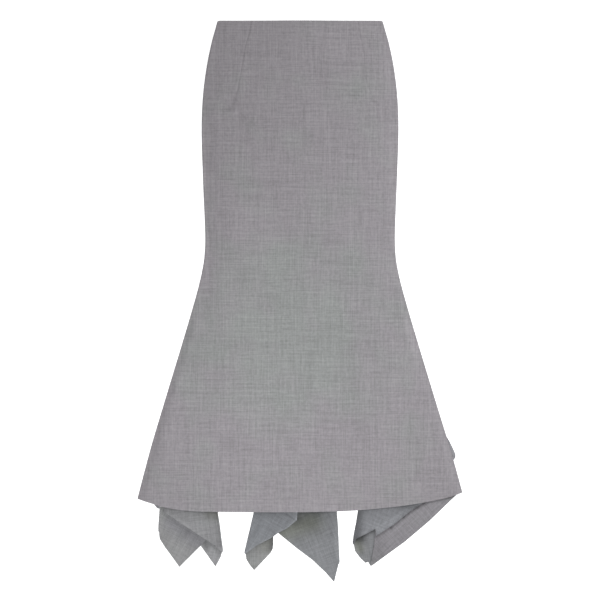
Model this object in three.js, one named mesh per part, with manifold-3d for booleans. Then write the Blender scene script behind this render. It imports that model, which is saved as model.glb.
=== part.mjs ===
// A fitted trumpet skirt in grey wool suiting, laid flat with its front up.
// The waist points to +Y, the cloth lies on the plane z = 0, and left and right are as seen from above.
// The front is one panel with two waist darts. The back has four gores, with a concealed zip at the top
// of the centre seam and three godets set between the gores. Each godet hangs past the hem in two
// points and lies folded in three layers. Sizes are in millimetres.
import * as THREE from "three";
import { mergeVertices } from "three/addons/utils/BufferGeometryUtils.js";
import Module from "manifold-3d";

const wasm = await Module();
wasm.setup();

// Cloth and how it is stacked
const CLOTH = 1.2;
const GAP = 0.35;
const LAYER = CLOTH + GAP;
const SEAM = 0.35;
const layer = (n) => CLOTH / 2 + n * LAYER;

// Driving sizes of the front
const WAIST_CORNER = 4;
const EDGE_ROLL = 1.55;
const EDGE_SLOPE = 15;
const HEM_DEPTH = 909;
const SIDE_HEM_DEPTH = 870;
const OUTLINE = [
  { depth: 0, left: 152.6, right: 152.6 },
  { depth: 20, left: 158.2, right: 158.3 },
  { depth: 40, left: 163.7, right: 164 },
  { depth: 85, left: 172.9, right: 173.3 },
  { depth: 140, left: 179.8, right: 180 },
  { depth: 200, left: 182.2, right: 182.2 },
  { depth: 300, left: 179.4, right: 179.1 },
  { depth: 400, left: 175.6, right: 175.6 },
  { depth: 440, left: 177.5, right: 177.5 },
  { depth: 480, left: 184.9, right: 185 },
  { depth: 530, left: 198.3, right: 198.6 },
  { depth: 600, left: 219, right: 219.3 },
  { depth: 700, left: 249.3, right: 249.6 },
  { depth: 780, left: 273.3, right: 274.1 },
  { depth: 830, left: 286.9, right: 288.6 },
  { depth: 872, left: 297.8, right: 300 },
  { depth: 884, left: 300.8, right: 302.8 },
];
const FRONT_HEM = [
  { x: -300, depth: 884.5 },
  { x: -286, depth: 890 },
  { x: -270, depth: 894 },
  { x: -258, depth: 899 },
  { x: -236, depth: 904 },
  { x: -205, depth: 907 },
  { x: -150, depth: 908.5 },
  { x: 0, depth: 908.5 },
  { x: 90, depth: 906 },
  { x: 150, depth: 901.5 },
  { x: 204, depth: 896 },
  { x: 273, depth: 881.5 },
  { x: 300, depth: 873 },
];
const FRONT_ROWS = [
  0, 12, 34, 62, 95, 128, 156, 200, 250, 300, 350, 395, 430, 460, 490, 525, 560, 595, 640, 690, 735, 770, 800,
  828, 852, 880, HEM_DEPTH,
];

// The waist darts, as seen lines from the waist to their points
const DART_WIDTH = 2;
const DART_SINK = 0.45;
const DARTS = [
  { top: -89, tip: -118, length: 154 },
  { top: 109, tip: 139, length: 156 },
];

// How far the front is lifted by what lies under it
const WAIST_CROWN = { height: 3.0, width: 60, length: 100 };
const HIP_CROWN = { height: 1.1, from: 60, to: 480 };
const GODET_LIFT = { height: 3.5, from: 505, to: 588 };

// The back gores
const HEM_SETBACK = 6;
const SIDE_INSET = 2.1;
const PRINCESS_SHARE = 0.62;
const GODET_TOP = 600;
const GODET_TOP_WIDTH = 14;
const BACK_ROWS = [0, 14, 36, 56, 95, 140, 200, 300, 400, 440, 480, 530, 570];
const BACK_HEM_ROWS = [700, 764, 777, 791, 800, 807, 814, 850];
const SIDE_PEEK = [
  { depth: 764, out: 0 },
  { depth: 777, out: 4.2 },
  { depth: 791, out: 6.3 },
  { depth: 800, out: 7.3 },
  { depth: 807, out: 7.1 },
  { depth: 814, out: 0 },
];

// The concealed zip's slider and pull at the top of the centre back seam
const ZIP_LIFT = { height: 2.6, flat: 4, width: 20, from: 34, to: 56 };
const PIN = { depth: 7, z: 0.8, radius: 0.35 };
const KNUCKLE = { outer: 0.7, bore: 0.5, width: 3.2 };
const PLATE = { width: 5, length: 8, thick: 0.6, z: 2.05 };
const LUG = { thick: 0.6, length: 1.6, gap: 0.3, foot: 0.2 };
const PULL = { length: 24, thick: 0.8, neck: 2.6, width: 4.6, hole: 1.1 };

// The three godets. Each row gives, at one station from top to end, the free edge of the middle layer,
// the fold between the middle and base layers, the fold between the base and top layers, and the free
// edge of the top layer, all as [x, depth], with the radii of the two folds.
const GODETS = [
  {
    name: "godet_left",
    stations: [
      { midFree: [-136, 600], fold1: [-144, 600], fold2: [-130, 600], topFree: [-139, 600], roll1: 0.8, roll2: 1.55 },
      { midFree: [-151, 760], fold1: [-206, 760], fold2: [-141, 760], topFree: [-198, 760], roll1: 0.8, roll2: 1.6 },
      { midFree: [-163, 900], fold1: [-259, 902], fold2: [-153, 909], topFree: [-251, 900], roll1: 0.85, roll2: 1.75 },
      { midFree: [-160, 911], fold1: [-260, 918], fold2: [-149, 934], topFree: [-252, 904], roll1: 1.0, roll2: 1.9 },
      { midFree: [-156, 921], fold1: [-261, 932], fold2: [-146, 960], topFree: [-253, 907], roll1: 1.3, roll2: 2.1 },
      { midFree: [-150, 933], fold1: [-262, 945], fold2: [-142, 983], topFree: [-254, 910], roll1: 1.5, roll2: 2.2 },
    ],
    midHem: [[-258, 959], [-250, 973], [-223, 1010], [-184, 971]],
    baseHem: [[-216, 924], [-184, 971], [-157, 1010]],
    topHem: [[-175, 961]],
  },
  {
    name: "godet_centre",
    stations: [
      { midFree: [-1, 600], fold1: [7, 600], fold2: [-7, 600], topFree: [2, 600], roll1: 0.8, roll2: 1.55 },
      { midFree: [-38, 760], fold1: [39, 760], fold2: [-47, 760], topFree: [6, 760], roll1: 0.8, roll2: 1.6 },
      { midFree: [-74, 900], fold1: [68, 907], fold2: [-85, 909], topFree: [-4, 903], roll1: 1.1, roll2: 1.75 },
      { midFree: [-66, 914], fold1: [70, 938], fold2: [-91, 935], topFree: [-5, 909], roll1: 1.4, roll2: 1.9 },
      { midFree: [-59, 927], fold1: [71, 971], fold2: [-97, 960], topFree: [-5, 916], roll1: 1.7, roll2: 2.1 },
      { midFree: [-52, 939], fold1: [73, 1006], fold2: [-103, 986], topFree: [-6, 923], roll1: 1.8, roll2: 2.2 },
    ],
    midHem: [[63, 1038], [47, 1020], [23, 997], [-4, 977], [-41, 947]],
    baseHem: [[0, 965], [-43, 939], [-49, 952], [-50, 976], [-85, 1017]],
    topHem: [[-81, 970], [-55, 957], [-41, 947], [-24, 938]],
  },
  {
    name: "godet_right",
    stations: [
      { midFree: [136, 600], fold1: [144, 600], fold2: [130, 600], topFree: [139, 600], roll1: 0.8, roll2: 1.55 },
      { midFree: [126, 760], fold1: [225, 760], fold2: [118, 760], topFree: [190, 760], roll1: 0.8, roll2: 1.6 },
      { midFree: [120, 894], fold1: [289, 877], fold2: [108, 906], topFree: [229, 893], roll1: 0.85, roll2: 1.75 },
      { midFree: [123, 914], fold1: [239, 925], fold2: [105, 927], topFree: [203, 911], roll1: 1.1, roll2: 1.9 },
      { midFree: [130, 935], fold1: [194, 963], fold2: [101, 948], topFree: [172, 935], roll1: 1.4, roll2: 2.1 },
      { midFree: [139, 955], fold1: [131, 1009], fold2: [98, 968], topFree: [139, 954], roll1: 1.1, roll2: 2.2 },
    ],
    midHem: [[133, 993]],
    baseHem: [[125, 1000], [122, 1002]],
    topHem: [[105, 958], [114, 953], [127, 949]],
  },
];
const ROWS_PER_STATION = [4, 4, 2, 2, 2];
const HEM_STEP = 34;
const FOLD_STEPS = 5;
const FOLD_RELAX = 11;

// A value read from a table by linear steps, or by a smooth curve through its rows
function stepped(table, key, at, value) {
  const last = table.length - 1;
  if (at <= table[0][key]) return table[0][value];
  if (at >= table[last][key]) return table[last][value];
  const i = table.findIndex((row) => row[key] > at) - 1;
  const t = (at - table[i][key]) / (table[i + 1][key] - table[i][key]);
  return THREE.MathUtils.lerp(table[i][value], table[i + 1][value], t);
}

function curved(table, key, at, value) {
  const last = table.length - 1;
  const a = THREE.MathUtils.clamp(at, table[0][key], table[last][key]);
  const i = Math.min(last - 1, Math.max(0, table.findIndex((row) => row[key] >= a) - 1));
  const slope = (n) => {
    const before = table[Math.max(0, n - 1)];
    const after = table[Math.min(last, n + 1)];
    return (after[value] - before[value]) / (after[key] - before[key]);
  };
  const span = table[i + 1][key] - table[i][key];
  const t = (a - table[i][key]) / span;
  const h = [2 * t ** 3 - 3 * t ** 2 + 1, t ** 3 - 2 * t ** 2 + t, -2 * t ** 3 + 3 * t ** 2, t ** 3 - t ** 2];
  return (
    h[0] * table[i][value] + h[1] * span * slope(i) + h[2] * table[i + 1][value] + h[3] * span * slope(i + 1)
  );
}

const halfWidth = (side, depth) => curved(OUTLINE, "depth", depth, side < 0 ? "left" : "right");
const frontHem = (x) => curved(FRONT_HEM, "x", x, "depth");
const bell = (v, width) => Math.exp(-((v / width) ** 2));
const point = (x, depth, z) => new THREE.Vector3(x, -depth, z);

// How far the back gores are lifted over the zip's slider and pull
function zipLift(x, depth) {
  const across = 1 - THREE.MathUtils.smoothstep(Math.abs(x), ZIP_LIFT.flat, ZIP_LIFT.width);
  return ZIP_LIFT.height * across * (1 - THREE.MathUtils.smoothstep(depth, ZIP_LIFT.from, ZIP_LIFT.to));
}

// Height of the middle of the front's cloth
function frontHeight(x, depth) {
  const inside = halfWidth(Math.sign(x), depth) - Math.abs(x);
  const share = Math.abs(x) / halfWidth(Math.sign(x), depth);
  const slope = THREE.MathUtils.smoothstep(inside, 1, 1 + EDGE_SLOPE);
  const waist = WAIST_CROWN.height * bell(x, WAIST_CROWN.width) * bell(depth, WAIST_CROWN.length);
  const middle = (HIP_CROWN.from + HIP_CROWN.to) / 2;
  const hip = HIP_CROWN.height * (1 - share ** 2) * bell(depth - middle, (HIP_CROWN.to - HIP_CROWN.from) / 2);
  const lift = GODET_LIFT.height * THREE.MathUtils.smoothstep(depth, GODET_LIFT.from, GODET_LIFT.to);
  return layer(1) + slope * (waist + hip + lift);
}

// How far round the front's side edge turns down, less where the back looks out beside it
function edgeTurn(side, depth) {
  if (side < 0) return Math.PI / 2;
  const open = THREE.MathUtils.smoothstep(depth, 735, 760) * (1 - THREE.MathUtils.smoothstep(depth, 820, 848));
  return (Math.PI / 2) * (1 - 0.6 * open);
}

const toGeometry = (positions, indices) => {
  const geometry = new THREE.BufferGeometry();
  geometry.setAttribute("position", new THREE.Float32BufferAttribute(positions, 3));
  geometry.setIndex(indices);
  return geometry;
};

// A closed wall of even thickness around a grid of middle points
function wall(grid) {
  const rows = grid.length;
  const cols = grid[0].length;
  const skins = [[], []];
  for (let i = 0; i < rows; i++) {
    for (let j = 0; j < cols; j++) {
      const down = grid[Math.min(rows - 1, i + 1)][j].clone().sub(grid[Math.max(0, i - 1)][j]);
      const across = grid[i][Math.min(cols - 1, j + 1)].clone().sub(grid[i][Math.max(0, j - 1)]);
      const normal = down.cross(across).normalize();
      skins[0].push(...grid[i][j].clone().addScaledVector(normal, CLOTH / 2));
      skins[1].push(...grid[i][j].clone().addScaledVector(normal, -CLOTH / 2));
    }
  }
  const under = rows * cols;
  const at = (i, j) => i * cols + j;
  const faces = [];
  const quad = (a, b, c, d) => faces.push([a, b, c], [a, c, d]);
  for (let i = 0; i + 1 < rows; i++) {
    for (let j = 0; j + 1 < cols; j++) {
      quad(at(i, j), at(i + 1, j), at(i + 1, j + 1), at(i, j + 1));
      quad(under + at(i, j), under + at(i, j + 1), under + at(i + 1, j + 1), under + at(i + 1, j));
    }
  }
  const rim = [];
  for (let j = 0; j < cols - 1; j++) rim.push(at(0, j));
  for (let i = 0; i < rows - 1; i++) rim.push(at(i, cols - 1));
  for (let j = cols - 1; j > 0; j--) rim.push(at(rows - 1, j));
  for (let i = rows - 1; i > 0; i--) rim.push(at(i, 0));
  rim.forEach((a, n) => {
    const b = rim[(n + 1) % rim.length];
    quad(a, b, under + b, under + a);
  });
  const positions = skins.flat();
  const corner = (n) => new THREE.Vector3().fromArray(positions, 3 * n);
  const volume = faces.reduce((sum, [a, b, c]) => sum + corner(a).dot(corner(b).cross(corner(c))), 0);
  const facing = volume < 0 ? faces.map(([a, b, c]) => [a, c, b]) : faces;
  return toGeometry(positions, facing.flat());
}

// The front panel's columns: the rolled edges, the slopes inside them, the darts and even steps between
function frontColumns() {
  const roll = [1, 0.66, 0.33, 0].map((turn) => ({ turn }));
  const slope = [3.5, 7.5, 12, 18, 32].map((inset) => ({ inset }));
  const left = [...roll, ...slope].map((column) => ({ side: -1, ...column }));
  const right = [...roll, ...slope].reverse().map((column) => ({ side: 1, ...column }));
  const around = (dart) => [-DART_WIDTH, 0, DART_WIDTH].map((beside) => ({ dart, beside }));
  const between = [1, 2, 3, 4, 5, 6].map((n) => ({ share: n / 7 }));
  return [...left, ...around(DARTS[0]), ...between, ...around(DARTS[1]), ...right];
}

const dartX = (dart, depth) => {
  const drawn = THREE.MathUtils.lerp(dart.top, dart.tip, Math.min(1, depth / dart.length));
  const side = Math.sign(dart.top);
  const tipShare = Math.abs(dart.tip) / halfWidth(side, dart.length);
  return depth < dart.length ? drawn : side * tipShare * halfWidth(side, depth);
};

// One middle point of the front at a column and depth
function frontPoint(column, depth) {
  if (column.turn !== undefined) {
    const turn = edgeTurn(column.side, depth);
    const edge = halfWidth(column.side, depth) - (CLOTH / 2) * Math.sin(turn);
    const x = edge - EDGE_ROLL * (Math.sin(turn) - Math.sin(turn * column.turn));
    return point(column.side * x, depth, layer(1) - EDGE_ROLL * (1 - Math.cos(turn * column.turn)));
  }
  if (column.inset !== undefined) {
    const x = column.side * (halfWidth(column.side, depth) - column.inset);
    return point(x, depth, frontHeight(x, depth));
  }
  if (column.dart !== undefined) {
    const x = dartX(column.dart, depth) + column.beside;
    const open = column.beside === 0 ? 1 - THREE.MathUtils.smoothstep(depth, column.dart.length - 30, column.dart.length) : 0;
    return point(x, depth, frontHeight(x, depth) - DART_SINK * open);
  }
  const x = THREE.MathUtils.lerp(dartX(DARTS[0], depth), dartX(DARTS[1], depth), column.share);
  return point(x, depth, frontHeight(x, depth));
}

function frontPanel() {
  const columns = frontColumns();
  const ends = columns.map((column) => {
    const waist = frontPoint(column, 0);
    const fromEdge = halfWidth(Math.sign(waist.x), 0) - Math.abs(waist.x);
    const into = Math.max(0, WAIST_CORNER - fromEdge);
    return { top: WAIST_CORNER - Math.sqrt(WAIST_CORNER ** 2 - into ** 2), hem: frontHem(frontPoint(column, 880).x) };
  });
  return wall(
    FRONT_ROWS.map((depth) => {
      const share = depth / HEM_DEPTH;
      return columns.map((column, j) => frontPoint(column, THREE.MathUtils.lerp(ends[j].top, ends[j].hem, share)));
    }),
  );
}

// The x of a godet's fold at a depth above the hem, which the gore beside it follows
function foldX(godet, fold, depth) {
  const line = godet.stations.map((station) => ({ depth: station[fold][1], x: station[fold][0] }));
  return stepped(line, "depth", depth, "x");
}

const princess = (side, depth) => side * PRINCESS_SHARE * halfWidth(side, depth);
const [GODET_LEFT, GODET_CENTRE, GODET_RIGHT] = GODETS;
const besideGodet = (godet, fold, side) => (depth) => foldX(godet, fold, depth) + side * SEAM;
const sideEdge = (side) => (depth) => {
  const out = side > 0 ? stepped(SIDE_PEEK, "depth", depth, "out") : 0;
  return side * (halfWidth(side, depth) - SIDE_INSET + out);
};

// Each gore's left and right edges, above the godets' tops and beside the godets
const GORES = [
  {
    name: "back_side_left",
    above: [sideEdge(-1), (depth) => princess(-1, depth) - SEAM / 2],
    below: [sideEdge(-1), besideGodet(GODET_LEFT, "fold1", -1)],
  },
  {
    name: "back_centre_left",
    above: [(depth) => princess(-1, depth) + SEAM / 2, () => -SEAM / 2],
    below: [besideGodet(GODET_LEFT, "fold2", 1), besideGodet(GODET_CENTRE, "fold2", -1)],
  },
  {
    name: "back_centre_right",
    above: [() => SEAM / 2, (depth) => princess(1, depth) - SEAM / 2],
    below: [besideGodet(GODET_CENTRE, "fold1", 1), besideGodet(GODET_RIGHT, "fold2", -1)],
  },
  {
    name: "back_side_right",
    above: [(depth) => princess(1, depth) + SEAM / 2, sideEdge(1)],
    below: [besideGodet(GODET_RIGHT, "fold1", 1), sideEdge(1)],
  },
];

function gore({ above, below }) {
  const shares = [0, 0.07, 0.16, 0.3, 0.5, 0.7, 0.84, 0.93, 1];
  const across = (edges, depth, share) => THREE.MathUtils.lerp(edges[0](depth), edges[1](depth), share);
  const pointAt = (edges, depth, share) => {
    const x = across(edges, depth, share);
    return point(x, depth, layer(0) + zipLift(x, depth));
  };
  const rowAt = (edges, depth) => shares.map((share) => pointAt(edges, depth, share));
  const hemDepth = (share) => frontHem(across(below, SIDE_HEM_DEPTH, share)) - HEM_SETBACK;
  return wall([
    ...BACK_ROWS.map((depth) => rowAt(above, depth)),
    rowAt(above, GODET_TOP - 4),
    rowAt(below, GODET_TOP - SEAM),
    ...BACK_HEM_ROWS.map((depth) => rowAt(below, depth)),
    shares.map((share) => pointAt(below, hemDepth(share), share)),
  ]);
}

// Points along a polyline at given shares of its length
function alongLine(line, share) {
  const steps = line.slice(1).map((p, i) => p.distanceTo(line[i]));
  let left = share * steps.reduce((a, b) => a + b, 0);
  for (let i = 0; i < steps.length; i++) {
    if (left <= steps[i] + 1e-6) return line[i].clone().lerp(line[i + 1], Math.min(1, left / steps[i]));
    left -= steps[i];
  }
  return line[line.length - 1].clone();
}

// Shares of a polyline's length at its own points and at even steps between them
function sharesOf(line) {
  const steps = line.slice(1).map((p, i) => p.distanceTo(line[i]));
  const total = steps.reduce((a, b) => a + b, 0);
  const shares = [0];
  let run = 0;
  steps.forEach((step) => {
    const parts = Math.max(1, Math.round(step / HEM_STEP));
    for (let n = 1; n <= parts; n++) shares.push((run + (step * n) / parts) / total);
    run += step;
  });
  return shares;
}

// The godet's stations subdivided into rows, as plan points and radii
function godetRows({ stations }) {
  const plan = (pair) => new THREE.Vector2(pair[0], -pair[1]);
  const rows = [];
  stations.slice(1).forEach((to, i) => {
    const from = stations[i];
    const parts = ROWS_PER_STATION[i];
    for (let n = i === 0 ? 0 : 1; n <= parts; n++) {
      const t = n / parts;
      const row = {};
      for (const line of ["midFree", "fold1", "fold2", "topFree"]) row[line] = plan(from[line]).lerp(plan(to[line]), t);
      for (const roll of ["roll1", "roll2"]) row[roll] = THREE.MathUtils.lerp(from[roll], to[roll], t);
      rows.push(row);
    }
  });
  const top = rows[0].fold1.y;
  const end = rows[rows.length - 1].fold2.y;
  rows.forEach((row) => {
    row.share = THREE.MathUtils.clamp((row.fold2.y - top) / (end - top), 0, 1);
  });
  return rows;
}

// The plan normal of a fold at a row, pointing away from the cloth, and the line inside the fold where it starts
function foldFrame(rows, i, fold, other) {
  const before = rows[Math.max(0, i - 1)][fold];
  const after = rows[Math.min(rows.length - 1, i + 1)][fold];
  const run = after.clone().sub(before).normalize();
  const out = new THREE.Vector2(run.y, -run.x);
  if (out.dot(rows[i][fold].clone().sub(rows[i][other])) < 0) out.negate();
  const roll = rows[i][fold === "fold1" ? "roll1" : "roll2"];
  return { out, roll, centre: rows[i][fold].clone().addScaledVector(out, -roll - CLOTH / 2) };
}

// The half round of a fold, from the base layer up or from the upper layer down
function foldArc({ centre, out, roll }, upwards) {
  const points = [];
  for (let n = 0; n <= FOLD_STEPS; n++) {
    const angle = Math.PI * (upwards ? n / FOLD_STEPS - 0.5 : 0.5 - n / FOLD_STEPS);
    const p = centre.clone().addScaledVector(out, roll * Math.cos(angle));
    points.push(new THREE.Vector3(p.x, p.y, layer(0) + roll + roll * Math.sin(angle)));
  }
  return points;
}

// One layer of a godet between two edges, whose end follows a cut hem line
function facet(from, to, hem, shares, rowShare, heightAt) {
  return shares.map((share) => {
    const straight = from.clone().lerp(to, share);
    const ends = hem[0].clone().lerp(hem[hem.length - 1], share);
    const cut = alongLine(hem, share).sub(ends).multiplyScalar(rowShare ** 3);
    const p = straight.add(cut);
    return new THREE.Vector3(p.x, p.y, heightAt(p.distanceTo(from), p.distanceTo(to)));
  });
}

function godet(shape) {
  const rows = godetRows(shape);
  const frames = rows.map((row, i) => [foldFrame(rows, i, "fold1", "fold2"), foldFrame(rows, i, "fold2", "fold1")]);
  const last = rows[rows.length - 1];
  const [end1, end2] = frames[frames.length - 1];
  const cut = (pairs) => pairs.map(([x, depth]) => new THREE.Vector2(x, -depth));
  const midHem = [last.midFree, ...cut(shape.midHem).reverse(), end1.centre];
  const baseHem = [end1.centre, ...cut(shape.baseHem), end2.centre];
  const topHem = [end2.centre, ...cut(shape.topHem), last.topFree];
  const relaxed = (level, roll) => (distance) =>
    layer(level) + (layer(0) + 2 * roll - layer(level)) * bell(distance, FOLD_RELAX);
  return wall(
    rows.map((row, i) => {
      const [fold1, fold2] = frames[i];
      const midHeight = relaxed(1, fold1.roll);
      const topHeight = relaxed(2, fold2.roll);
      const mid = facet(row.midFree, fold1.centre, midHem, sharesOf(midHem), row.share, (a, b) => midHeight(b));
      const base = facet(fold1.centre, fold2.centre, baseHem, sharesOf(baseHem), row.share, () => layer(0));
      const top = facet(fold2.centre, row.topFree, topHem, sharesOf(topHem), row.share, (a) => topHeight(a));
      return [
        ...mid.slice(0, -1),
        ...foldArc(fold1, false),
        ...base.slice(1, -1),
        ...foldArc(fold2, true),
        ...top.slice(1),
      ];
    }),
  );
}

// Joins and cuts of closed shapes for the zip's hard pieces
function solid(geometry) {
  const bare = geometry.clone();
  bare.deleteAttribute("normal");
  bare.deleteAttribute("uv");
  const merged = mergeVertices(bare, 1e-4);
  return new wasm.Manifold(
    new wasm.Mesh({
      numProp: 3,
      vertProperties: new Float32Array(merged.attributes.position.array),
      triVerts: new Uint32Array(merged.index.array),
    }),
  );
}

function fromSolid(made) {
  const mesh = made.getMesh();
  return toGeometry(Array.from(mesh.vertProperties), Array.from(mesh.triVerts));
}

const box = (w, l, h, x, depth, z) => solid(new THREE.BoxGeometry(w, l, h).translate(x, -depth, z));
const crossRod = (radius, width) =>
  solid(new THREE.CylinderGeometry(radius, radius, width, 16).rotateZ(Math.PI / 2).translate(0, -PIN.depth, PIN.z));

function zipSlider() {
  const plate = box(PLATE.width, PLATE.length, PLATE.thick, 0, PIN.depth, PLATE.z);
  const lugHeight = PLATE.z - LUG.foot;
  const lugX = KNUCKLE.width / 2 + LUG.gap + LUG.thick / 2;
  const lug = (side) => box(LUG.thick, LUG.length, lugHeight, side * lugX, PIN.depth, LUG.foot + lugHeight / 2);
  const pin = crossRod(PIN.radius, 2 * lugX);
  return fromSolid(plate.add(lug(-1)).add(lug(1)).add(pin));
}

// A flat teardrop pull with an eye in its foot, hung from a knuckle round the slider's pin
function zipPull() {
  const end = PULL.length - PULL.width / 2;
  const outline = new THREE.Shape();
  outline.moveTo(-PULL.neck / 2, 0);
  outline.lineTo(-PULL.width / 2, -end);
  outline.absarc(0, -end, PULL.width / 2, Math.PI, 2 * Math.PI, false);
  outline.lineTo(PULL.neck / 2, 0);
  outline.closePath();
  const eye = new THREE.Path();
  eye.absarc(0, -end, PULL.hole, 0, 2 * Math.PI, true);
  outline.holes.push(eye);
  const tab = new THREE.ExtrudeGeometry(outline, { depth: PULL.thick, bevelEnabled: false, curveSegments: 8 });
  const placed = solid(tab.translate(0, -PIN.depth, PIN.z - PULL.thick / 2));
  const knuckle = crossRod(KNUCKLE.outer, KNUCKLE.width);
  return fromSolid(placed.add(knuckle).subtract(crossRod(KNUCKLE.bore, KNUCKLE.width + 2)));
}

const suiting = (color) => new THREE.MeshStandardMaterial({ color, roughness: 0.88, metalness: 0 });
const FACE = 0x959296;
const BACK = 0x8d8b8e;
const INSIDE = 0x858988;
const NICKEL = new THREE.MeshStandardMaterial({ color: 0x8c8c90, roughness: 0.35, metalness: 1 });

const pieces = [
  ["front_panel", frontPanel(), suiting(FACE)],
  ...GORES.map((piece) => [piece.name, gore(piece), suiting(BACK)]),
  ...GODETS.map((piece) => [piece.name, godet(piece), suiting(INSIDE)]),
  ["zip_slider", zipSlider(), NICKEL],
  ["zip_pull", zipPull(), NICKEL],
];

const skirt = new THREE.Group();
for (const [name, geometry, material] of pieces) {
  const mesh = new THREE.Mesh(geometry, material);
  mesh.name = name;
  skirt.add(mesh);
}

// The origin is the middle of the skirt's outline, on the surface that it lies on
const middle = new THREE.Box3().setFromObject(skirt).getCenter(new THREE.Vector3());
skirt.position.set(-middle.x, -middle.y, 0);

export default skirt;
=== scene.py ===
import math

import bpy
import numpy as np
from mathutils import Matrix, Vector


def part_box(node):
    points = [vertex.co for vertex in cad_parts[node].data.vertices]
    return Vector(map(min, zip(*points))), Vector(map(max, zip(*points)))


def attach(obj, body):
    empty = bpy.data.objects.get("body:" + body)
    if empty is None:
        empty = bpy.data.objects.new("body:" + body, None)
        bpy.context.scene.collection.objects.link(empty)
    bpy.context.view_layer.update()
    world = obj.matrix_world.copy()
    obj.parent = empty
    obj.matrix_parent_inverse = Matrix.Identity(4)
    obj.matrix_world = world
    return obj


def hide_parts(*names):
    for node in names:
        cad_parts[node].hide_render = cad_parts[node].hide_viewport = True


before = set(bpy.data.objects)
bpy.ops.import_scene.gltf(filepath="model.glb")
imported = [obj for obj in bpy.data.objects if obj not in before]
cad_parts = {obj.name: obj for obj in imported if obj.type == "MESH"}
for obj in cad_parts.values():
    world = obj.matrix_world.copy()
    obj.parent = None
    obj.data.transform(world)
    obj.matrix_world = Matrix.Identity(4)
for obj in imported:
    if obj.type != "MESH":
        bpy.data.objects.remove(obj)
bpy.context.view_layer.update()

# A fitted trumpet skirt in grey wool suiting, laid flat with its front up.
# Tables and shaping are in millimetres: x to the right, depth down from the waist, z up from the floor.
MM = 0.001
CLOTH = 1.2
LAYER = 1.55
SEAM = 0.35

for thing in bpy.context.selected_objects:
    thing.select_set(False)

waist_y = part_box("front_panel")[1].y
slider_low, slider_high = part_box("zip_slider")
middle_x = (slider_low.x + slider_high.x) / 2


def table(columns, *rows):
    """A short table as named columns."""
    return dict(zip(columns.split(), np.array(rows, float).T))


def placed(x, depth, z):
    """Points in the row frame, in metres."""
    x, depth, z = np.broadcast_arrays(x, depth, z)
    return np.stack([middle_x + x * MM, waist_y - depth * MM, z * MM], -1)


# Camera, light and floor: the field that the camera sees and its height in metres
FIELD = 1.11
CAMERA_HEIGHT = 3.6
SENSOR = 36
VIEW_X = -0.2
VIEW_DEPTH = 516.5
LAMP_SIZE = 0.5
SKY_LIGHT = 0.3
SKY_SEEN = 0.95
FLOOR_SIZE = 14
FLOOR_DROP = 0.4

camera = bpy.data.objects.new("Camera", bpy.data.cameras.new("Camera"))
bpy.context.scene.collection.objects.link(camera)
camera.location = placed(VIEW_X, VIEW_DEPTH, CAMERA_HEIGHT / MM)
camera.data.sensor_width = SENSOR
camera.data.lens = SENSOR * CAMERA_HEIGHT / FIELD
camera.data.clip_start, camera.data.clip_end = 0.1, 60
bpy.context.scene.camera = camera
bpy.context.scene.view_settings.view_transform = "Standard"


def light(name, place, power):
    """A round lamp that looks at the middle of the floor."""
    lamp = bpy.data.lights.new(name, "AREA")
    lamp.energy = power
    lamp.shape = "DISK"
    lamp.size = LAMP_SIZE
    made = bpy.data.objects.new(name, lamp)
    bpy.context.scene.collection.objects.link(made)
    made.location = place
    made.visible_camera = False
    made.rotation_euler = (-Vector(place)).to_track_quat("-Z", "Y").to_euler()


light("Near light", (-0.1, -0.45, 0.9), 5.1)
light("Window light", (1.18, 0.735, 0.9), 14.7)

world = bpy.data.worlds.new("Studio")
bpy.context.scene.world = world
world.use_nodes = True
sky = world.node_tree.nodes["Background"]
sky.inputs["Color"].default_value = (1, 1, 1, 1)
seen_or_lit = world.node_tree.nodes.new("ShaderNodeLightPath")
strength = world.node_tree.nodes.new("ShaderNodeMapRange")
strength.inputs["To Min"].default_value = SKY_LIGHT
strength.inputs["To Max"].default_value = SKY_SEEN
world.node_tree.links.new(seen_or_lit.outputs["Is Camera Ray"], strength.inputs["Value"])
world.node_tree.links.new(strength.outputs[0], sky.inputs["Strength"])


def new_material(name):
    """An empty material and its node tree."""
    made = bpy.data.materials.new(name)
    made.use_nodes = True
    made.node_tree.nodes.clear()
    return made, made.node_tree


def add(tree, kind, name, sockets=None, **settings):
    """A node with its settings, and the values of the sockets that nothing is linked to."""
    node = tree.nodes.new(kind)
    node.name = node.label = name
    for key, value in settings.items():
        setattr(node, key, value)
    for key, value in (sockets or {}).items():
        node.inputs[key].default_value = value
    return node


def floor_material():
    """White paper that is clear from below, so that the skirt's underside can be seen."""
    made, tree = new_material("White paper")
    link = tree.links.new
    finish = {
        "Base Color": (0.9, 0.9, 0.9, 1),
        "Roughness": 0.9,
        "Emission Color": (1, 1, 1, 1),
        "Emission Strength": 0.7,
    }
    paper = add(tree, "ShaderNodeBsdfPrincipled", "Paper", finish)
    clear = add(tree, "ShaderNodeBsdfTransparent", "Clear")
    side = add(tree, "ShaderNodeNewGeometry", "Side")
    mix = add(tree, "ShaderNodeMixShader", "Clear from below")
    out = add(tree, "ShaderNodeOutputMaterial", "Surface")
    link(side.outputs["Backfacing"], mix.inputs[0])
    link(paper.outputs[0], mix.inputs[1])
    link(clear.outputs[0], mix.inputs[2])
    link(mix.outputs[0], out.inputs["Surface"])
    return made


bpy.ops.mesh.primitive_plane_add(size=FLOOR_SIZE, location=(0, 0, -FLOOR_DROP * MM))
floor = bpy.context.object
floor.name = "floor"
floor.data.materials.append(floor_material())
floor.select_set(False)

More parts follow.
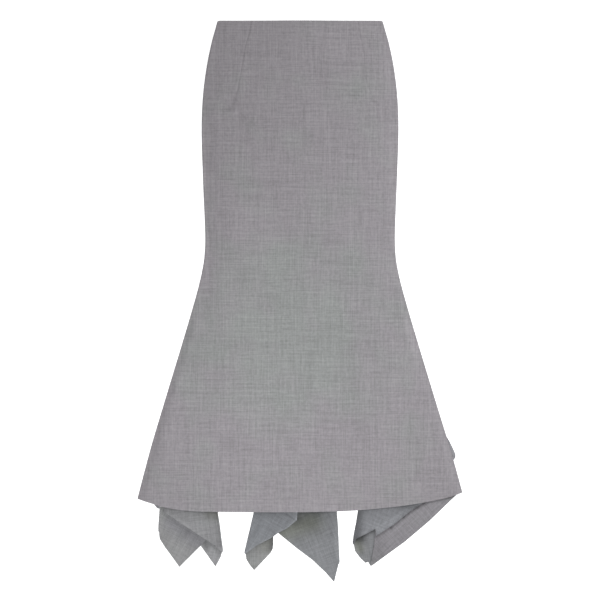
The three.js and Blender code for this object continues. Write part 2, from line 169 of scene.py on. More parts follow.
# Cut of the skirt: how wide the front is to each side of the middle, and how deep its hem hangs
OUTLINE = table(
    "depth left right",
    (0, 152.6, 152.6),
    (20, 158.2, 158.3),
    (40, 163.7, 164),
    (85, 172.9, 173.3),
    (140, 179.8, 180),
    (200, 182.2, 182.2),
    (300, 179.4, 179.1),
    (400, 175.6, 175.6),
    (440, 177.5, 177.5),
    (480, 184.9, 185),
    (530, 198.3, 198.6),
    (600, 219, 219.3),
    (700, 249.3, 249.6),
    (780, 273.3, 274.1),
    (830, 286.9, 288.6),
    (872, 297.8, 300),
    (884, 300.8, 302.8),
)
FRONT_HEM = table(
    "x depth",
    (-300, 883.8),
    (-286, 888.6),
    (-274, 892.3),
    (-260, 897),
    (-246, 900.3),
    (-231, 902.9),
    (-204, 906.2),
    (-160, 907.9),
    (0, 908.5),
    (90, 906),
    (150, 901),
    (204, 894.6),
    (273, 881.3),
    (300, 873),
)
# How far the right back gore looks out beside the front
SIDE_PEEK = table("depth out", (762, 0), (777, 4.8), (791, 7.4), (801, 8.9), (807, 8.5), (814, 0))
WAIST_CORNER = 4
EDGE_ROLL = 1.55
SIDE_INSET = 2.1
PRINCESS_SHARE = 0.62
GODET_TOP = 600


def layer(n):
    """The height of the middle of a layer of cloth, counted from the floor up."""
    return CLOTH / 2 + n * LAYER


def bell(distance, width):
    """A soft bump: 1 on the line, and near 0 from twice its width on."""
    return np.exp(-((distance / width) ** 2))


def smooth(value, low, high):
    """A soft step from 0 at low to 1 at high."""
    t = np.clip((value - low) / (high - low), 0, 1)
    return t * t * (3 - 2 * t)


def curved(rows, key, at, value):
    """A smooth line through a table's rows, flat past its ends."""
    x, y = rows[key], rows[value]
    slope = np.empty_like(y)
    slope[1:-1] = (y[2:] - y[:-2]) / (x[2:] - x[:-2])
    slope[0] = (y[1] - y[0]) / (x[1] - x[0])
    slope[-1] = (y[-1] - y[-2]) / (x[-1] - x[-2])
    at = np.clip(at, x[0], x[-1])
    i = np.clip(np.searchsorted(x, at) - 1, 0, len(x) - 2)
    span = x[i + 1] - x[i]
    t = (at - x[i]) / span
    return (
        (2 * t**3 - 3 * t**2 + 1) * y[i]
        + (t**3 - 2 * t**2 + t) * span * slope[i]
        + (3 * t**2 - 2 * t**3) * y[i + 1]
        + (t**3 - t**2) * span * slope[i + 1]
    )


def half_width(side, depth):
    """How far the front's edge is from the middle, on the left for a negative side."""
    left = curved(OUTLINE, "depth", depth, "left")
    right = curved(OUTLINE, "depth", depth, "right")
    return np.where(np.asarray(side) < 0, left, right)


def front_hem(x):
    """The depth of the front's hem."""
    return curved(FRONT_HEM, "x", x, "depth")


# Soft creases, each given by a line
def beside_curve(x, depth, row, steps=14):
    """How far points lie from a bowed line, positive on its left hand, and which share of it is nearest."""
    t = np.linspace(0, 1, steps + 1)
    bend_x = 2 * row["xm"] - (row["x1"] + row["x2"]) / 2
    bend_d = 2 * row["dm"] - (row["d1"] + row["d2"]) / 2
    line_x = (1 - t) ** 2 * row["x1"] + 2 * t * (1 - t) * bend_x + t**2 * row["x2"]
    line_d = (1 - t) ** 2 * row["d1"] + 2 * t * (1 - t) * bend_d + t**2 * row["d2"]
    nearest = np.full(x.shape, np.inf)
    away = np.zeros(x.shape)
    share = np.zeros(x.shape)
    for i in range(steps):
        run_x, run_d = line_x[i + 1] - line_x[i], line_d[i + 1] - line_d[i]
        gone = ((x - line_x[i]) * run_x + (depth - line_d[i]) * run_d) / (run_x**2 + run_d**2)
        gone = np.clip(gone, 0, 1)
        gap_x, gap_d = x - line_x[i] - gone * run_x, depth - line_d[i] - gone * run_d
        gap = np.hypot(gap_x, gap_d)
        closer = gap < nearest
        nearest = np.where(closer, gap, nearest)
        away = np.where(closer, gap * np.sign(gap_x * run_d - gap_d * run_x), away)
        share = np.where(closer, (i + gone) / steps, share)
    return away, share


def rows_of(rows):
    """A table's rows, each with its columns' names."""
    return [dict(zip(rows, values)) for values in zip(*rows.values())]


def crease_lines(*rows):
    """A table of bowed lines, each with the width, height and lean of its ridge or trough."""
    return table("x1 d1 xm dm x2 d2 width height lean", *rows)


def ledge_lines(*rows):
    """A table of bowed lines, each with the reach and rise of the band on its left hand."""
    return table("x1 d1 xm dm x2 d2 reach rise", *rows)


def stroke_lines(*rows):
    """A table of straight lines, each with the width and strength of the painted shade along it; a negative
    strength paints lighter, and in the warmth tables the strength warms the painted shade instead.
    """
    return table("x1 d1 x2 d2 width strength", *rows)


def creases(x, depth, rows):
    """The height of soft ridges and troughs. Each fades out at both ends, and lean widens its left side."""
    x, depth = np.broadcast_arrays(x, depth)
    total = np.zeros(x.shape)
    for row in rows_of(rows):
        away, share = beside_curve(x, depth, row)
        fade = smooth(share, 0, 0.3) * (1 - smooth(share, 0.65, 1))
        width = row["width"] * np.where(away > 0, 1 + row["lean"], 1)
        total += row["height"] * fade * bell(away, width)
    return total


def ledges(x, depth, rows):
    """Bands that lie a little higher or lower than the cloth beside them, on a line's left hand."""
    total = np.zeros(x.shape)
    for row in rows_of(rows):
        away, share = beside_curve(x, depth, row)
        inside = smooth(away, 0, 1.5) * (1 - smooth(away, row["reach"], row["reach"] + 3))
        total += row["rise"] * inside * smooth(share, 0, 0.02) * (1 - smooth(share, 0.98, 1))
    return total


def painted_strokes(x, depth, rows):
    """Painted shade and painted highlights along lines of the cloth, in the depth of folds and on pressed
    edges, as a factor on the colour.
    """
    total = np.ones(x.shape)
    for row in rows_of(rows):
        row = dict(row, xm=(row["x1"] + row["x2"]) / 2, dm=(row["d1"] + row["d2"]) / 2)
        away, _ = beside_curve(x, depth, row, 1)
        total *= 1 - row["strength"] * bell(away, row["width"])
    return total


FRONT_CREASES = crease_lines(
    (-116, 122, -124, 158, -166, 188, 4.2, -0.9, 0.6),
    (-112, 128, -126, 176, -172, 196, 7, 0.55, 0.4),
    (-132, 96, -150, 128, -176, 140, 9, 0.5, 0.2),
    (124, 132, 138, 156, 148, 186, 3.6, -0.6, 0.5),
    (150, 205, 156, 214, 170, 222, 4, -0.5, 0.2),
    (92, 152, 122, 146, 150, 172, 9, 0.5, 0.4),
    (174, 452, 190, 546, 214, 684, 5.5, 1.5, 1.4),
    (-174, 452, -197, 546, -188, 628, 5, 1.1, 0.2),
    (-150, 455, -152, 560, -178, 700, 17, 0.7, 0.5),
    (120, 430, 128, 540, 160, 690, 20, 0.6, 0.6),
    (-60, 292, 0, 318, 46, 306, 15, 0.45, 0.3),
    (-150, 262, -96, 250, -40, 262, 13, 0.5, 0.3),
    (54, 232, 104, 250, 168, 240, 12, 0.5, 0.3),
    (-34, 380, 40, 398, 132, 380, 14, 0.4, 0.2),
    (-120, 60, -60, 84, 4, 70, 13, 0.35, 0.4),
    (20, 108, 66, 120, 104, 104, 12, 0.4, 0.3),
    (40, 168, 52, 230, 44, 290, 20, 0.5, 0.8),
    (-30, 150, -40, 210, -28, 262, 18, 0.35, 0.8),
    (-238, 690, -244, 780, -266, 878, 13, 0.9, 0.8),
    (-92, 640, -110, 770, -108, 896, 22, 0.7, 0.8),
    (62, 660, 76, 770, 70, 896, 24, 0.7, 0.6),
    (196, 700, 222, 790, 238, 880, 16, 0.8, 0.8),
    (-20, 740, 6, 820, 18, 906, 14, 0.6, 0.4),
    (128, 780, 146, 840, 150, 902, 12, 0.55, 0.4),
    (-180, 560, -120, 590, -70, 570, 16, 0.4, 0.2),
    (30, 520, 84, 548, 130, 530, 15, 0.4, 0.2),
)
GORE_CREASES = crease_lines(
    (-150, 260, -104, 254, -60, 240, 12, 0.5, 0.2),
    (30, 330, 92, 340, 150, 352, 13, 0.45, 0.2),
    (-90, 470, -84, 560, -70, 640, 15, 0.5, 0.3),
    (80, 480, 76, 560, 64, 660, 14, 0.5, 0.3),
    (-50, 140, -20, 158, 30, 150, 12, 0.5, 0.3),
    (50, 60, 90, 84, 128, 92, 11, 0.35, 0.3),
    (-230, 660, -242, 750, -262, 850, 12, 0.5, 0.4),
    (214, 640, 236, 740, 262, 830, 12, 0.5, 0.4),
)

LEFT_DART = table(
    "depth x",
    (0, -91),
    (22, -94.2),
    (42, -100.1),
    (84, -108),
    (124, -114.9),
    (137, -117.5),
    (150, -119.8),
)
RIGHT_DART = table(
    "depth x",
    (0, 106),
    (24, 109.9),
    (45, 114.5),
    (63, 117.6),
    (91, 119.8),
    (108, 121),
    (124, 125),
    (136, 130),
    (154, 135),
)
# A dart's sewn line is sunk between two low shoulders, and painted shade (dark) darkens its groove a little
DARTS = (
    dict(side=-1, line=LEFT_DART, length=150, sink=0.29, shoulder=0.17, dark=0.06),
    dict(side=1, line=RIGHT_DART, length=154, sink=0.16, shoulder=0.14, dark=0.02),
)
DART_LINE_WIDTH = 1.5
DART_SHOULDER_OUT = 4
DART_SHOULDER_WIDTH = 3
DART_PAINTED_SHADE_WIDTH = 2.1
DART_FADE = 30
DART_PAINTED_SHADE_FADE = 14


def dart_x(dart, depth):
    """The x of a dart's line, which below its point keeps its share of the width."""
    tip = float(dart["line"]["x"][-1])
    share = abs(tip) / half_width(dart["side"], float(dart["length"]))
    drawn = curved(dart["line"], "depth", np.minimum(depth, dart["length"]), "x")
    return np.where(depth < dart["length"], drawn, dart["side"] * share * half_width(dart["side"], depth))


def sewn(dart, depth, fade):
    """1 along a dart's sewn line, fading to 0 at its point."""
    return 1 - smooth(depth, dart["length"] - fade, dart["length"])


# How the front lies: it slopes up from its edges, and swells at the waist, at the hips and over the godets
EDGE_SLOPE = (1, 16)
WAIST_SWELL = dict(rise=3.0, width=60, length=100)
HIP_SWELL = dict(rise=1.9, slope=46, depth=290, length=230)
GODET_SWELL = dict(rise=3.5, start=505, full=588)
DEEPEST_CREASE = 0.2


def front_height(x, depth):
    """The height of the middle of the front's cloth."""
    inside = half_width(np.sign(x), depth) - np.abs(x)
    waist = WAIST_SWELL["rise"] * bell(x, WAIST_SWELL["width"]) * bell(depth, WAIST_SWELL["length"])
    hip = HIP_SWELL["rise"] * smooth(inside, 0, HIP_SWELL["slope"])
    hip = hip * bell(depth - HIP_SWELL["depth"], HIP_SWELL["length"])
    lift = GODET_SWELL["rise"] * smooth(depth, GODET_SWELL["start"], GODET_SWELL["full"])
    swell = np.maximum(waist + hip + lift + creases(x, depth, FRONT_CREASES), -DEEPEST_CREASE)
    return layer(1) + smooth(inside, *EDGE_SLOPE) * swell


# Building a shell of cloth round a grid of middle points
def shell(name, x, depth, z, grain, inner, painted_shading, painted_shade_warmth=(0, 0)):
    """A closed cloth piece. grain is its flat pattern. The looks are pairs: upper skin, lower skin. The
    first is a tint (on the godets a painted colour cast of the light), the second painted shade and painted
    highlights, the third a warmer tint of painted shade.
    """
    grid = placed(x, depth, z)
    normal = np.cross(np.gradient(grid, axis=0), np.gradient(grid, axis=1))
    normal /= np.linalg.norm(normal, axis=2, keepdims=True)
    half = normal * CLOTH * MM / 2
    count = x.size
    points = np.concatenate([(grid + half).reshape(-1, 3), (grid - half).reshape(-1, 3)])
    ids = np.arange(count).reshape(x.shape)
    top = np.stack([ids[:-1, :-1], ids[1:, :-1], ids[1:, 1:], ids[:-1, 1:]], -1).reshape(-1, 4)
    rim = np.concatenate([ids[0, :-1], ids[:-1, -1], ids[-1, :0:-1], ids[:0:-1, 0]])
    following = np.roll(rim, -1)
    side = np.stack([rim, following, following + count, rim + count], -1)
    faces = np.concatenate([top, top[:, ::-1] + count, side])
    mesh = bpy.data.meshes.new(name)
    mesh.from_pydata(points.tolist(), [], faces.tolist())
    made = bpy.data.objects.new(name, mesh)
    bpy.context.scene.collection.objects.link(made)
    # The tint, the painted shading and the warmth of painted shade are kept on the points
    for label, values in (("inner", inner), ("painted_shading", painted_shading), ("painted_shade_warmth", painted_shade_warmth)):
        attribute = mesh.attributes.new(label, "FLOAT", "POINT")
        both = np.concatenate([np.broadcast_to(v, x.shape).ravel() for v in values])
        attribute.data.foreach_set("value", both.astype(np.float32))
    corner = np.zeros(len(mesh.loops), np.int32)
    mesh.loops.foreach_get("vertex_index", corner)
    pattern = np.tile(grain.reshape(-1, 2) * MM, (2, 1))[corner]
    mesh.uv_layers.new(name="grain").data.foreach_set("uv", pattern.astype(np.float32).ravel())
    round_edges(made)
    return made


EDGE_ROUNDING = 0.4
EDGE_SEGMENTS = 2
SHARP_ANGLE = 62


def round_edges(piece):
    """Rounds the cut edges of a cloth piece, and smooths its faces."""
    bpy.context.view_layer.objects.active = piece
    piece.select_set(True)
    soften = piece.modifiers.new("Rounded edge", "BEVEL")
    soften.width = EDGE_ROUNDING * MM
    soften.segments = EDGE_SEGMENTS
    soften.limit_method = "ANGLE"
    soften.angle_limit = math.radians(SHARP_ANGLE)
    bpy.ops.object.modifier_apply(modifier=soften.name)
    bpy.ops.object.shade_smooth()
    piece.select_set(False)


# Front panel: its columns are at turns of the rolled edge, in from it, beside the darts and evenly between
EDGE_TURNS = (1, 0.84, 0.67, 0.5, 0.33, 0.17, 0)
EDGE_INSETS = (1.2, 2.5, 4, 6, 8, 10, 12.5, 15, 18, 21)
BESIDE_DART = (-9, -7, -5.4, -4, -3, -2.2, -1.5, -0.9, -0.4, 0, 0.4, 0.9, 1.5, 2.2, 3, 4, 5.4, 7, 9)
GAP_STEPS = {"left gap": 11, "between": 63, "right gap": 5}
# The right edge's roll opens where the back gore looks out beside it
OPEN_FROM = (735, 760)
OPEN_TO = (820, 848)
OPEN_SHARE = 0.6
# A column ends on the front's hem at the x that it has at this depth
NEAR_HEM = 880
# Painted shade and painted highlights on the front where the light falls on its gentle slopes, edges and
# right hip, and painted shade along the darts and the left dart's pucker; a negative strength paints
# lighter
FRONT_PAINTED_SHADING = stroke_lines(
    (-168, 250, -160, 460, 16, 0.02),
    (172, 190, 169, 480, 7, -0.05),
    (-178, 220, -172, 480, 5, -0.05),
    (-70, 350, -92, 700, 42, -0.035),
    (96, 480, 112, 760, 42, 0.025),
    (159, 52, 173, 158, 7, -0.045),
    (98, 4, 148, 22, 20, -0.02),
    (-102, 44, -104, 60, 2.2, 0.05),
    (-117.6, 134, -120, 144, 2.4, 0.13),
    (-119, 146, -123, 153, 3, 0.17),
    (-123, 154, -131, 164, 3.4, 0.12),
    (-131, 164, -146, 172, 4.2, 0.08),
    (-152, 176, -116, 171, 1.8, -0.07),
    (108, 20, 109, 26, 2, 0.09),
    (114, 47, 118, 60, 2, 0.08),
    (118, 80, 120, 106, 2, 0.05),
    (131, 146, 143, 155, 3.4, 0.1),
    (143, 166, 144, 186, 3, 0.05),
)


def even_steps(low, high, size):
    """Even steps of about a size, with both ends."""
    return np.linspace(low, high, max(2, int(round(abs(high - low) / size)) + 1))


def front_columns():
    """The front's columns from left to right: what each follows, its side or dart, and its place there."""
    edge = [("turn", v) for v in EDGE_TURNS] + [("inset", v) for v in EDGE_INSETS]
    places = {kind: np.linspace(0, 1, steps + 1)[1:-1] for kind, steps in GAP_STEPS.items()}
    places["dart"] = BESIDE_DART
    runs = (("left gap", -1), ("dart", 0), ("between", 0), ("dart", 1), ("right gap", 1))
    left = [(kind, -1, v) for kind, v in edge]
    inner = [(kind, side, v) for kind, side in runs for v in places[kind]]
    right = [(kind, 1, v) for kind, v in edge[::-1]]
    return left + inner + right


def rolled_edge(side, v, depth):
    """A column of the edge that rolls down towards the floor."""
    if side > 0:
        opened = smooth(depth, *OPEN_FROM) * (1 - smooth(depth, *OPEN_TO))
    else:
        opened = 0 * depth
    turn = (math.pi / 2) * (1 - OPEN_SHARE * opened)
    edge = half_width(side, depth) - CLOTH / 2 * np.sin(turn)
    x = side * (edge - EDGE_ROLL * (np.sin(turn) - np.sin(turn * v)))
    return x, layer(1) - EDGE_ROLL * (1 - np.cos(turn * v))


def front_column(column, depth):
    """The x and z of one column of the front at some depths."""
    kind, side, v = column
    if kind == "turn":
        return rolled_edge(side, v, depth)
    if kind == "inset":
        x = side * (half_width(side, depth) - v)
    elif kind == "dart":
        x = dart_x(DARTS[side], depth) + v
    else:
        left, right = dart_x(DARTS[0], depth), dart_x(DARTS[1], depth)
        start, end = {
            "left gap": (EDGE_INSETS[-1] - half_width(-1, depth), left + BESIDE_DART[0]),
            "between": (left + BESIDE_DART[-1], right + BESIDE_DART[0]),
            "right gap": (right + BESIDE_DART[-1], half_width(1, depth) - EDGE_INSETS[-1]),
        }[kind]
        x = start + (end - start) * v
    z = front_height(x, depth)
    for dart in DARTS:
        across = x - dart_x(dart, depth)
        line = dart["sink"] * bell(across, DART_LINE_WIDTH)
        shoulders = dart["shoulder"] * bell(np.abs(across) - DART_SHOULDER_OUT, DART_SHOULDER_WIDTH)
        z = z - sewn(dart, depth, DART_FADE) * (line - shoulders)
    return x, z


def make_front():
    """The front as one sheet, with rows that are closer at the waist and along the darts."""
    shares = np.concatenate(
        [[0, 0.0007, 0.002], even_steps(0.005, 0.095, 0.0055), even_steps(0.099, 0.25, 0.0036)[:-1]]
        + [even_steps(0.25, 0.985, 0.0058), [0.989, 0.993, 0.9965, 0.999, 1]]
    )
    columns = []
    for column in front_columns():
        x_top, _ = front_column(column, np.array([0.0]))
        into = np.maximum(0, WAIST_CORNER - (half_width(np.sign(x_top), 0.0) - np.abs(x_top)))
        top = WAIST_CORNER - np.sqrt(WAIST_CORNER**2 - into**2)
        x_low, _ = front_column(column, np.array([float(NEAR_HEM)]))
        depth = top + (front_hem(x_low) - top) * shares
        x, z = front_column(column, depth)
        columns.append((x, depth, z))
    x, depth, z = (np.array(v).T for v in zip(*columns))
    # Painted shade and painted highlights from the front's strokes
    painted_shading = painted_strokes(x, depth, FRONT_PAINTED_SHADING)
    # Painted shade along each dart's sewn line, fading out towards its point
    for dart in DARTS:
        line = bell(x - dart_x(dart, depth), DART_PAINTED_SHADE_WIDTH)
        painted_shading = painted_shading * (1 - dart["dark"] * sewn(dart, depth, DART_PAINTED_SHADE_FADE) * line)
    return shell("front_cloth", x, depth, z, np.stack([x, -depth], -1), (0, 1), (painted_shading, 1))


# Godets: each row of a stations table is one step from the top of the godet to its end
STATION = "mid_x mid_d fold1_x fold1_d fold2_x fold2_d top_x top_d roll1 roll2"
GODETS = {
    "godet_left": dict(
        stations=table(
            STATION,
            (-136, 600, -144, 600, -130, 600, -139, 600, 0.8, 1.55),
            (-151, 760, -206, 760, -141, 760, -198, 760, 0.8, 1.6),
            (-163, 900, -260, 902, -152, 909, -251, 900, 0.85, 1.75),
            (-160, 911, -261, 918, -148, 934, -251.5, 902.5, 1.0, 1.9),
            (-156, 921, -262, 932, -144.8, 960, -252, 905, 1.3, 2.1),
            (-150, 933, -262.6, 945, -141.6, 982, -252.6, 907.5, 1.5, 2.2),
        ),
        mid_hem=table("x depth", (-259.5, 958), (-250, 973), (-223, 1010), (-184, 971)),
        base_hem=table("x depth", (-216, 924), (-184, 971), (-156.5, 1009.5), (-150, 998), (-146.3, 990.5)),
        top_hem=table("x depth", (-157, 970.4), (-174, 959.4)),
    ),
    "godet_centre": dict(
        stations=table(
            STATION,
            (-1, 600, 7, 600, -7, 600, 2, 600, 0.8, 1.55),
            (-38, 760, 39, 760, -47, 760, 6, 760, 0.8, 1.6),
            (-74, 900, 68, 907, -86, 909, -4, 903, 1.1, 1.75),
            (-66, 914, 70.5, 938, -92, 935, -5, 909, 1.4, 1.9),
            (-59, 927, 71.8, 971, -98, 960, -5, 916, 1.7, 2.1),
            (-52, 939, 73.3, 1004, -103.8, 985, -6, 923, 1.8, 2.2),
        ),
        mid_hem=table("x depth", (63, 1038), (47, 1020), (23, 997), (-4, 977), (-41, 947)),
        base_hem=table(
            "share x depth",
            (0.79, -49.4, 936),
            (0.86, -49.6, 968),
            (0.875, -50.6, 977),
            (0.89, -54.5, 984),
            (0.955, -85, 1016.5),
            (0.975, -93.5, 1006),
            (0.988, -99.3, 996.5),
        ),
        top_hem=table("x depth", (-81, 970), (-55, 957), (-41, 947), (-24, 938)),
    ),
    "godet_right": dict(
        stations=table(
            STATION,
            (136, 600, 144, 600, 130, 600, 139, 600, 0.8, 1.55),
            (129, 760, 225, 760, 118, 760, 190, 760, 0.8, 1.6),
            (130, 894, 289, 877, 106.7, 906, 229, 890, 0.85, 1.75),
            (136, 914, 239, 925, 103.4, 927, 204, 906.5, 1.1, 1.9),
            (138.8, 932, 194, 963, 99.2, 948, 173, 931.5, 1.4, 2.1),
            (138.8, 947, 131, 1009, 96.3, 967.5, 140.3, 952.4, 1.1, 2.2),
        ),
        mid_hem=table("x depth", (132.4, 995), (136.8, 971)),
        base_hem=table(
            "x depth", (125.5, 1000.5), (121, 1002.8), (112.3, 994.6), (106.2, 987), (101.4, 980.3)
        ),
        top_hem=table("x depth", (104, 957.5), (114.5, 952), (127.5, 945.5), (138.6, 939.3), (140.2, 943)),
    ),
}
# Facets are numbered along the cloth: 0 the middle layer, 1 the layer on the floor, 2 the top layer
GODET_CREASES = {
    "godet_left": (
        crease_lines(
            (-250, 915, -244, 950, -236, 990, 9, 1.0, 0.5),
            (-216, 944, -217, 975, -224, 1012, 8, 0.8, 0.2),
        ),
        None,
        crease_lines(
            (-266, 904, -222, 934, -166, 968, 9, 3.0, 0),
            (-240, 903, -206, 922, -168, 946, 11, 0.9, 0),
        ),
    ),
    "godet_centre": (
        crease_lines(
            (24, 898, 36, 950, 52, 1012, 20, 2.2, 0),
            (58, 915, 62, 960, 66, 1024, 8, 1.2, 0),
            (-4, 930, 4, 955, 22, 985, 10, 0.7, 0),
        ),
        None,
        crease_lines(
            (0, 896, -12, 928, -50, 952, 20, 3.2, 0),
            (-24, 936, -62, 958, -112, 990, 9, 2.2, 0),
            (-66, 908, -72, 930, -80, 962, 9, 0.8, 0),
        ),
    ),
    "godet_right": (
        crease_lines(
            (276, 882, 216, 936, 158, 984, 10, 1.4, 0.4),
            (150, 950, 142, 980, 133, 1008, 7, 1.2, 0.2),
        ),
        None,
        crease_lines(
            (240, 886, 196, 918, 132, 958, 9, 2.6, 0),
            (150, 936, 124, 948, 92, 966, 8, 3.0, 0),
            (122, 900, 116, 924, 108, 960, 10, 1.5, 0.9),
            (164, 898, 150, 912, 138, 930, 10, 0.8, 0.3),
        ),
    ),
}
LEDGES = {
    "godet_centre": {2: ledge_lines((-27, 908, -18, 914.5, -6, 923, 16, -0.45))},
    "godet_right": {
        1: ledge_lines((128, 936, 127, 970, 127.5, 1006, 8, 0.5)),
        2: ledge_lines((214, 889, 172, 920.5, 138, 940, 17, -0.55)),
    },
}
# Painted light on each facet: tint is a painted colour cast towards the inside colour, tone a painted light
# or shade of the whole facet, and warmth a warmer tint of its painted shade
FACET_PAINTED_LIGHT = {
    "godet_left": dict(tint=(0.53, 0.6, 0.55), tone=(0.985, 1.035, 0.905), painted_shade_warmth=(0.3, 0.22, 0.2)),
    "godet_centre": dict(tint=(0.85, 0.6, 1.0), tone=(0.87, 0.99, 0.735), painted_shade_warmth=(0.1, 0.36, 0)),
    "godet_right": dict(tint=(0.2, 0.75, 0.8), tone=(0.88, 0.76, 0.83), painted_shade_warmth=(0, 0.15, 0)),
}
# Painted shade in the depth of the folds, beside the top layers' edges and under the front's hem, and
# painted highlights on pressed edges, facet by facet; a negative strength paints lighter
GODET_PAINTED_SHADING = {
    "godet_left": (
        stroke_lines(
            (-251, 911, -175, 960, 3.2, -0.16),
            (-246, 918, -178, 964, 11, 0.16),
            (-235, 936, -186, 966, 24, 0.11),
            (-213, 946, -190, 966, 18, 0.05),
            (-260, 900, -222, 907, 6, 0.16),
            (-223, 978, -223, 1006, 14, -0.08),
        ),
        stroke_lines(
            (-180, 962, -173, 973, 6.5, 0.4),
            (-176, 962, -146, 982, 4, 0.13),
        ),
        stroke_lines(
            (-256, 901, -153, 908.5, 5, 0.18),
            (-246, 910, -153, 913.5, 12, 0.14),
            (-168, 909, -152, 912, 11, 0.26),
            (-153, 908, -146, 970, 5, 0.22),
            (-168, 963, -147, 976.5, 1.7, -0.06),
            (-243, 913, -186, 949, 4, -0.02),
        ),
    ),
    "godet_centre": (
        stroke_lines(
            (2, 908, 28, 908, 15, 0.415),
            (-5, 908, -5, 922, 9, 0.15),
            (-5, 922, -34, 945, 8, 0.15),
            (-8, 926, 22, 932, 18, 0.23),
            (0, 926, 46, 932, 34, 0.26),
            (30, 910, 64, 912, 14, 0.16),
            (-38, 946, 0, 968, 11, 0.1),
            (46, 970, 68, 1000, 10, 0.07),
            (66, 936, 69, 988, 4, -0.1),
        ),
        stroke_lines(
            (-50, 944, -52, 974, 9, 0.475),
            (-100, 990, -54, 960, 12, 0.15),
            (-99, 985.5, -54, 957.5, 4, 0.13),
        ),
        stroke_lines(
            (-86, 908.5, -8, 908.5, 6, 0.16),
            (-84, 913, -12, 913, 10, 0.11),
            (-70, 913, -28, 919, 12, 0.06),
            (-97, 981, -74, 964, 11, -0.1),
            (-102, 983.5, -54, 955.5, 1.8, -0.2),
            (-43, 946, -22, 936, 1.8, -0.2),
            (-22, 936, -8, 922, 1.8, -0.2),
            (-6.6, 921, -6.2, 908, 1.8, -0.22),
            (-25.7, 911.1, -10.7, 921.6, 1.8, 0.22),
            (-24.2, 908.9, -9.2, 919.4, 1.3, -0.1),
        ),
    ),
    "godet_right": (
        stroke_lines(
            (141, 953.5, 168.5, 937.5, 2.2, 0.42),
            (168.5, 937.5, 191, 918, 2.4, 0.51),
            (191, 918, 215, 900.5, 2.5, 0.57),
            (215, 900.5, 230, 892, 3.6, 0.56),
            (140, 962, 142, 1000, 20, 0.13),
            (230, 892, 286, 879, 4, 0.16),
            (272, 881, 286, 876, 4, 0.3),
        ),
        stroke_lines(
            (104, 957, 114, 958, 8, 0.6),
            (114, 953, 137, 942, 4, 0.44),
            (138.5, 946, 136.7, 972, 1.9, 0.2),
            (136.7, 972, 132.3, 998, 1.9, 0.2),
            (106, 958, 113, 984, 5, 0.2),
            (120, 966, 128, 988, 7, 0.045),
            (132.5, 952, 130, 1000, 4.2, -0.05),
            (104, 977, 119, 998, 5, -0.1),
        ),
        stroke_lines(
            (106, 908, 100, 957, 12, 0.49),
            (107, 906, 205, 896, 5, 0.16),
            (110, 913, 196, 904, 12, 0.13),
            (190, 899, 214, 896, 9, 0.28),
            (167.5, 936, 190, 916.5, 1.8, 0.14),
            (190, 916.5, 214, 899, 1.8, 0.13),
            (214, 899, 229, 890.5, 2.6, 0.26),
            (106, 955.4, 137, 939, 1.5, 0.08),
            (106, 940, 130, 928, 6, 0.05),
            (140.4, 938.5, 168, 922.8, 1.6, -0.14),
            (168, 922.8, 205, 896, 1.6, -0.14),
            (141, 945.5, 168, 929.5, 5, -0.08),
            (168, 929.5, 207, 899.5, 5, -0.08),
        ),
    ),
}
# Where the painted shade in the depth of a fold is tinted warmer, facet by facet
GODET_PAINTED_SHADE_WARMTH = {
    "godet_left": (
        stroke_lines((-234, 930, -184, 964, 17, -0.26)),
        None,
        stroke_lines((-165, 910, -152, 912, 12, 0.4)),
    ),
    "godet_centre": (
        stroke_lines((-30, 944, 20, 926, 20, 0.85)),
        stroke_lines((-50, 950, -64, 972, 14, 0.3)),
        None,
    ),
    "godet_right": (None, stroke_lines((103, 956, 110, 976, 9, 0.7)), None),
}
ROWS_BETWEEN_STATIONS = (24, 22, 14, 14, 14)
# A fold's height relaxes to its layer's level over FOLD_RELAX, and its curl closes a little near the hem
FOLD_STEPS = 12
FOLD_RELAX = 11
FOLD_END = 5
FOLD_END_CLOSING = 0.65
CREASES_FROM = (2, 9)
FACET_STEP = 2.3
# A godet's cloth is opened out flat about a point this far above its top
OPENING_RISE = 30
LOWER_SKIN_TINT = 0.6


def hem_points(line, marks=None):
    """Points along a hem, at its corners and evenly between them, and the share of the row at each."""
    steps = np.linalg.norm(np.diff(line, axis=0), axis=1)
    if marks is None:
        marks = np.concatenate([[0], np.cumsum(steps)]) / steps.sum()
    counts = [max(2, int(round(step / FACET_STEP))) for step in steps]
    parts = [np.linspace(a, b, n, endpoint=False) for a, b, n in zip(marks, marks[1:], counts)]
    shares = np.concatenate(parts + [[1.0]])
    return shares, np.stack([np.interp(shares, marks, line[:, k]) for k in (0, 1)], -1)


